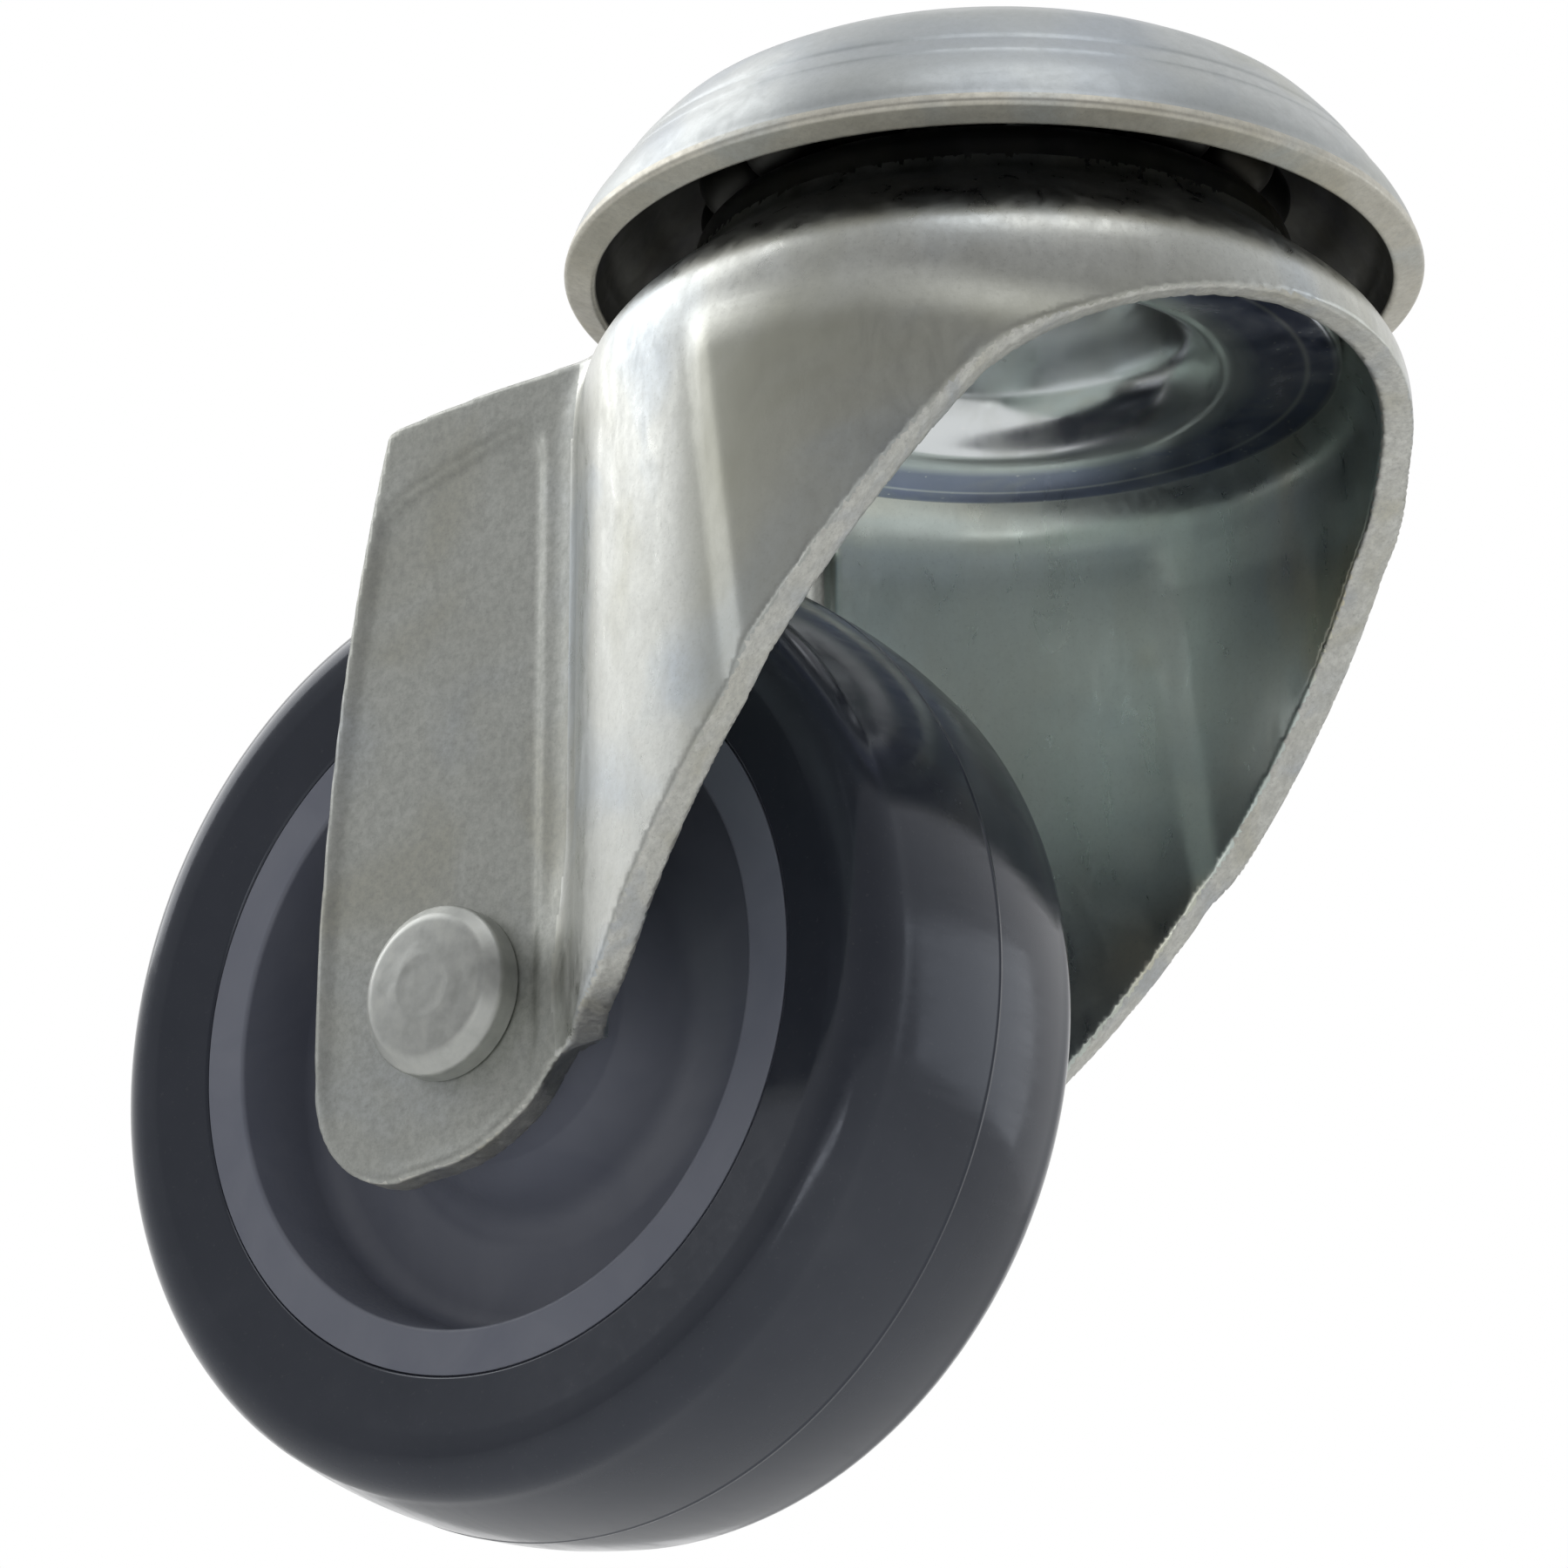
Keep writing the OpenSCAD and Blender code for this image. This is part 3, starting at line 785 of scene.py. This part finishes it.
def cup_material():
    """Race cup: dished centre painted bright as a highlight, flat ring painted
    dark blue as a reflection, with a wear circle.
    """
    mat, nodes, links, shader = material("race_zinc")
    where = object_coords(nodes)
    split = nodes.new("ShaderNodeSeparateXYZ")
    links.new(where, split.inputs["Vector"])
    flat = nodes.new("ShaderNodeCombineXYZ")
    links.new(split.outputs["X"], flat.inputs["X"])
    links.new(split.outputs["Y"], flat.inputs["Y"])
    length = nodes.new("ShaderNodeVectorMath")
    length.operation = "LENGTH"
    links.new(flat.outputs["Vector"], length.inputs[0])
    share = spread(nodes, links, length.outputs["Value"], 0, 1, 0, CUP_R * MM)
    wear = WEAR_R / CUP_R
    # Painted light by radius: the bright centre and lighter outer edge are
    # painted highlights, the dark blue ring a painted reflection; the thin
    # light circle is real wear.
    base = colour_ramp(nodes, links, share, [
        (0.55, (0.84, 0.87, 0.88)), (12.2 / CUP_R, (0.80, 0.83, 0.85)),
        (13.2 / CUP_R, (0.34, 0.37, 0.52)), (wear - 0.012, (0.30, 0.33, 0.50)),
        (wear, (0.78, 0.80, 0.86)), (wear + 0.012, (0.28, 0.31, 0.48)),
        (0.97, (0.24, 0.27, 0.42)), (1.0, (0.66, 0.68, 0.68))])
    cloud = noise(nodes, links, where, 260, 4, 0.6, distort=0.5)
    speck = noise(nodes, links, where, 2600, 2, 0.6)
    tinted = mix_colour(nodes, links,
                        spread(nodes, links, cloud, 0, 0.5, 0.45, 0.75),
                        base, (0.60, 0.62, 0.56))
    flecked = mix_colour(nodes, links,
                         spread(nodes, links, speck, 0, 0.8, 0.68, 0.74),
                         tinted, (0.92, 0.92, 0.92))
    links.new(flecked, shader.inputs["Base Color"])
    shader.inputs["Metallic"].default_value = 1.0
    links.new(spread(nodes, links, cloud, 0.15, 0.28, 0.35, 0.68),
              shader.inputs["Roughness"])
    bump(nodes, links, shader, [(cloud, 0.06, 0.05), (speck, 0.1, 0.01)])
    return mat


def head_material():
    """Rivet head: zinc with ring marks of the riveting tool."""
    mat, nodes, links, shader = material("axle_rivet_zinc")
    where = object_coords(nodes)
    shift = nodes.new("ShaderNodeMapping")
    shift.inputs["Location"].default_value = (-AXLE[0] * MM, 0,
                                              -AXLE[2] * MM)
    links.new(where, shift.inputs["Vector"])
    split = nodes.new("ShaderNodeSeparateXYZ")
    links.new(shift.outputs["Vector"], split.inputs["Vector"])
    flat = nodes.new("ShaderNodeCombineXYZ")
    links.new(split.outputs["X"], flat.inputs["X"])
    links.new(split.outputs["Z"], flat.inputs["Y"])
    rings = nodes.new("ShaderNodeTexWave")
    rings.wave_type = "RINGS"
    rings.rings_direction = "Z"
    rings.inputs["Scale"].default_value = 260
    rings.inputs["Distortion"].default_value = 3.5
    rings.inputs["Detail"].default_value = 3
    rings.inputs["Detail Scale"].default_value = 2.0
    links.new(flat.outputs["Vector"], rings.inputs["Vector"])
    smear = noise(nodes, links, where, 900, 5, 0.65)
    base = colour_ramp(nodes, links, smear, [
        (0.3, (0.42, 0.43, 0.41)), (0.5, (0.48, 0.49, 0.47)),
        (0.7, (0.54, 0.55, 0.52))])
    links.new(base, shader.inputs["Base Color"])
    shader.inputs["Metallic"].default_value = 1.0
    links.new(spread(nodes, links, smear, 0.34, 0.5),
              shader.inputs["Roughness"])
    bump(nodes, links, shader, [(rings.outputs["Fac"], 0.2, 0.05),
                                (smear, 0.1, 0.04)])
    return mat


ZINC_CAP = zinc("cap_zinc", (0.44, 0.46, 0.46), (0.44, 0.45, 0.41),
                (0.38, 0.41, 0.44), rough=(0.34, 0.44), speckle=0.15,
                tint=0.15, scale=0.8, mottle=0.2)
# A lighter, cream-tinted copy of the cap zinc for the lip's rim: painted
# highlight.
ZINC_LIP_PAINTED_HIGHLIGHT = zinc("cap_lip_painted_highlight", (0.62, 0.60, 0.53), (0.58, 0.55, 0.46),
                (0.56, 0.57, 0.54), rough=(0.42, 0.55), speckle=0.3,
                tint=0.3, scale=2, mottle=0.4)
# The patch given here darkens the pad beside the crease to an olive grey:
# painted shade.
ZINC_FORK = zinc("fork_zinc", (0.60, 0.61, 0.58), (0.47, 0.47, 0.41),
                 (0.50, 0.54, 0.57), rough=(0.26, 0.42), speckle=0.35,
                 tint=0.35, grain=(1, 1, 0.5), mottle=0.28, scale=0.8,
                 painted_light_zone=((-4.6, -2.2), (-15.5, -19.0), (0.40, 0.40, 0.34), 0.1))
ZINC_LEG = zinc("leg_zinc", (0.48, 0.49, 0.46), (0.44, 0.44, 0.39),
                (0.46, 0.48, 0.48), rough=(0.38, 0.52), speckle=0.3,
                tint=0.25, grain=(1, 1, 0.55), mottle=0.55)
ZINC_EDGE = zinc("fork_sheared_edge", (0.66, 0.66, 0.62), (0.58, 0.57, 0.5),
                 (0.52, 0.54, 0.55), rough=(0.42, 0.6), speckle=0.5,
                 tint=0.3, grain=(1, 1, 0.3), scale=3, mottle=0.6)
# Inside of the hood: a lighter, teal-tinted copy of the fork zinc, standing in
# for light that reaches in and the reflections seen there, with a warm painted
# highlight towards the front and lower down.
ZINC_INNER_PAINTED_LIGHT = zinc("fork_inside_painted_light", (0.61, 0.68, 0.65), (0.68, 0.63, 0.48),
                  (0.51, 0.59, 0.59), rough=(0.26, 0.38), speckle=0.2,
                  tint=0.3, grain=(1, 1, 0.4), scale=0.6, mottle=0.12,
                  dents=0.03,
                  painted_light_zone=((10.5, 14.5), (-20, -27), (0.80, 0.70, 0.42), 0))
# Near-black steel used where there is only shade: painted shade inside the cap
# and on the crown's neck.
PAINTED_SHADE = zinc("painted_shade_steel", (0.14, 0.14, 0.13), (0.16, 0.15, 0.11),
               (0.10, 0.10, 0.11), rough=(0.35, 0.5), speckle=0.2)
ZINC_RIVET = zinc("king_rivet_zinc", (0.66, 0.68, 0.68), (0.6, 0.6, 0.55),
                  (0.5, 0.54, 0.6), rough=(0.25, 0.4))
STEEL_TUBE = zinc("sleeve_steel", (0.56, 0.57, 0.58), (0.5, 0.5, 0.47),
                  (0.44, 0.46, 0.5), rough=(0.2, 0.32), speckle=0.2)
# Balls painted near black so they read as the shade in the gap under the cap:
# painted shade.
BALL_PAINTED_SHADE = zinc("ball_steel", (0.050, 0.050, 0.047), (0.045, 0.04, 0.03),
                  (0.035, 0.035, 0.035), rough=(0.42, 0.55), speckle=0.1,
                  tint=0.3)


# ---------------------------------------------------------------- pieces
def place(obj, mat, body, nodes):
    """Gives a piece its material and body, and hides the nodes it replaces."""
    obj.data.materials.append(mat)
    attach(obj, body)
    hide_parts(*nodes)
    return obj


# Outside, sheared edges, inside of the hood (painted light), neck (near-black
# painted shade), legs.
FORK_MATERIALS = (ZINC_FORK, ZINC_EDGE, ZINC_INNER_PAINTED_LIGHT, PAINTED_SHADE, ZINC_LEG)
fork_piece = place(build_fork(), FORK_MATERIALS[0], "fork_assembly",
                   ["fork"])
for extra in FORK_MATERIALS[1:]:
    fork_piece.data.materials.append(extra)
cap_piece = place(lathe("cap_shell", cap_profile()), ZINC_CAP, "head",
                  ["top_cap"])
cap_piece.data.materials.append(PAINTED_SHADE)
cap_piece.data.materials.append(ZINC_LIP_PAINTED_HIGHLIGHT)
# Inside faces of the cap get the near-black material as painted shade; faces
# along the lip's rim get the lighter copy as a painted highlight.
for face in cap_piece.data.polygons:
    radial = face.center.xy.normalized().dot(face.normal.xy)
    hidden = face.normal.z < 0.1 and radial < 0.25
    if hidden and face.center.z > (-CAP_H + 0.35) * MM:
        face.material_index = 1
    elif face.center.z < (-CAP_H + 1.0) * MM:
        face.material_index = 2
place(lathe("race_cup", cup_profile()), cup_material(), "head",
      ["lower_race_cup"])
place(lathe("bolt_sleeve", king_profile(), segments=128), ZINC_RIVET,
      "head", ["king_rivet"])
place(lathe("axle_pin", rivet_profile(), "Y", AXLE, 128), head_material(),
      "fork_assembly", ["axle_rivet"])
place(lathe("wheel_hub", hub_profile(), "Y", AXLE), hub_material(),
      "wheel", ["hub"])
place(lathe("wheel_tyre", tyre_profile(), "Y", AXLE, 360), tyre_material(),
      "wheel", ["tyre"])

for name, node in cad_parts.items():
    if name.startswith(("upper_ball", "lower_ball")):
        node.data.materials.clear()
        node.data.materials.append(BALL_PAINTED_SHADE)
    elif name == "axle_sleeve":
        node.data.materials.clear()
        node.data.materials.append(STEEL_TUBE)


# ---------------------------------------------------------------- studio
FLOOR_Z = -0.32        # far enough below for the low camera
DARK_SIDE = (0.50, -0.80, -0.33)


def stage_disc(name, z, radius, colour):
    bpy.ops.mesh.primitive_circle_add(vertices=96, radius=radius,
                                      fill_type="NGON", location=(0, 0, z))
    disc = bpy.context.object
    disc.name = name
    mat, nodes, links, shader = material(name)
    shade = noise(nodes, links, object_coords(nodes), 3, 2, 0.5)
    links.new(colour_ramp(nodes, links, shade, [
        (0.3, tuple(0.98 * c for c in colour)), (0.7, colour)]),
        shader.inputs["Base Color"])
    shader.inputs["Roughness"].default_value = 0.7
    disc.data.materials.append(mat)


def softbox(name, direction, distance, size, power, colour=(1, 1, 1)):
    light = bpy.data.lights.new(name, "AREA")
    light.shape = "RECTANGLE"
    light.size, light.size_y = size
    light.energy = power
    light.color = colour
    obj = bpy.data.objects.new(name, light)
    aim = Vector(AXLE) * MM * 0.5
    d = Vector(direction).normalized()
    obj.location = aim + d * distance
    obj.rotation_euler = (-d).to_track_quat("-Z", "Y").to_euler()
    bpy.context.scene.collection.objects.link(obj)


def world_light():
    """Pale surroundings, darker towards the side the photographer is on."""
    world = bpy.data.worlds.new("studio")
    bpy.context.scene.world = world
    world.use_nodes = True
    nodes, links = world.node_tree.nodes, world.node_tree.links
    back = nodes["Background"]
    where = nodes.new("ShaderNodeTexCoord").outputs["Generated"]
    dot = nodes.new("ShaderNodeVectorMath")
    dot.operation = "DOT_PRODUCT"
    dot.inputs[1].default_value = DARK_SIDE
    links.new(where, dot.inputs[0])
    ramp_out = colour_ramp(nodes, links, spread(
        nodes, links, dot.outputs["Value"], 0, 1, -1, 1), [
        (0.0, (1.0, 1.0, 1.0)), (0.12, (1.0, 1.0, 1.0)),
        (0.35, (0.62, 0.63, 0.64)), (0.7, (0.42, 0.42, 0.42)),
        (0.95, (0.26, 0.26, 0.27))])
    links.new(ramp_out, back.inputs["Color"])
    back.inputs["Strength"].default_value = 1.0


stage_disc("studio_floor", FLOOR_Z, 3.0, (0.86, 0.86, 0.85))
world_light()
softbox("key", (-0.85, -0.1, 0.75), 0.8, (0.6, 0.6), 1.8)
softbox("top", (0.3, -0.2, 1.0), 0.8, (0.5, 0.5), 0.9)
softbox("window", (0.64, 0.70, 0.10), 0.8, (0.5, 0.36), 0.4, (0.92, 0.96, 1))
softbox("low_fill", (0.35, -0.75, -0.4), 0.9, (0.5, 0.4), 1.2)

# ---------------------------------------------------------------- camera
# Low in front of the near side, looking up, close and with a long lens.
CAMERA_AIM = Vector((-0.01139, -0.00207, -0.03289))
CAMERA_SIDE = Vector((0.56186, -0.76135, -0.32352))
CAMERA_DISTANCE = 0.31
LENS_MM = 144.9
camera_data = bpy.data.cameras.new("camera")
camera_data.sensor_width = 36
camera_data.lens = LENS_MM
camera_data.clip_start = 0.01
camera = bpy.data.objects.new("camera", camera_data)
bpy.context.scene.collection.objects.link(camera)
camera.location = CAMERA_AIM + CAMERA_SIDE * CAMERA_DISTANCE
camera.rotation_euler = (-CAMERA_SIDE).to_track_quat("-Z", "Y").to_euler()
bpy.context.scene.camera = camera
bpy.context.scene.view_settings.view_transform = "Standard"
